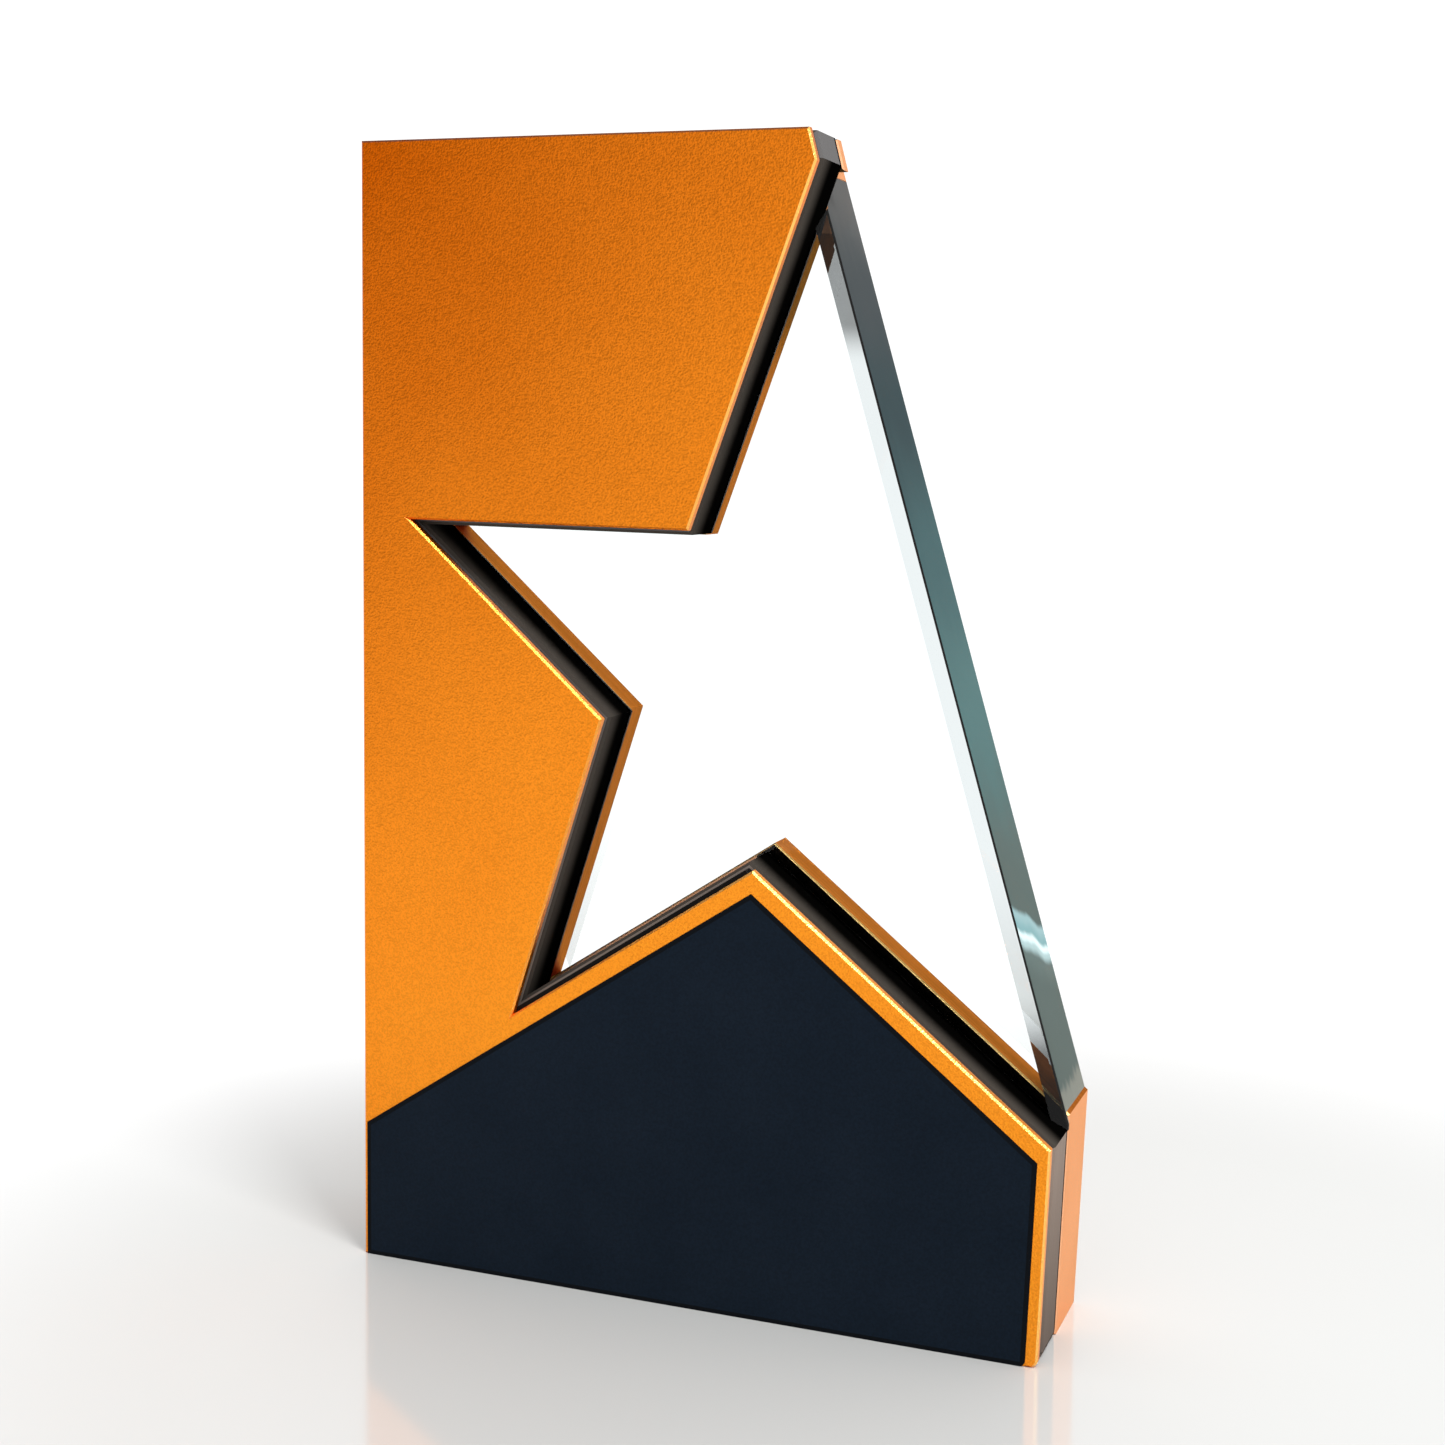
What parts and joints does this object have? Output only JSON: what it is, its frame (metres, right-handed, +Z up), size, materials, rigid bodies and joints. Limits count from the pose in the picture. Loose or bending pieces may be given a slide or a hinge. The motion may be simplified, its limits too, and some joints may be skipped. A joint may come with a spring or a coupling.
{
  "type": "star trophy",
  "caption": "Free-standing layered slab award with a star opening, a printed lower panel and a clear crystal star whose cut edge forms a long diagonal.",
  "frame": {"origin": "bottom centre of the bounding box, on the surface it stands on", "axes": "+X to the right seen from the front, +Y to the rear, +Z up"},
  "size_m": [0.1272, 0.0298, 0.2],
  "materials": {
    "gold_front": "satin",
    "navy_print": "satin",
    "bond_black": "matte",
    "core_black": "satin",
    "gold_inner": "satin",
    "copper_rear": "satin",
    "crystal": "polished"
  },
  "bodies": {
    "root": {"front_gold_plate": "gold_front", "navy_print_panel": "navy_print", "front_bond_layer": "bond_black", "black_core": "core_black", "rear_bond_layer": "bond_black", "inner_gold_plate": "gold_inner", "copper_rear_body": "copper_rear", "crystal_star_insert": "crystal"}
  },
  "joints": []
}
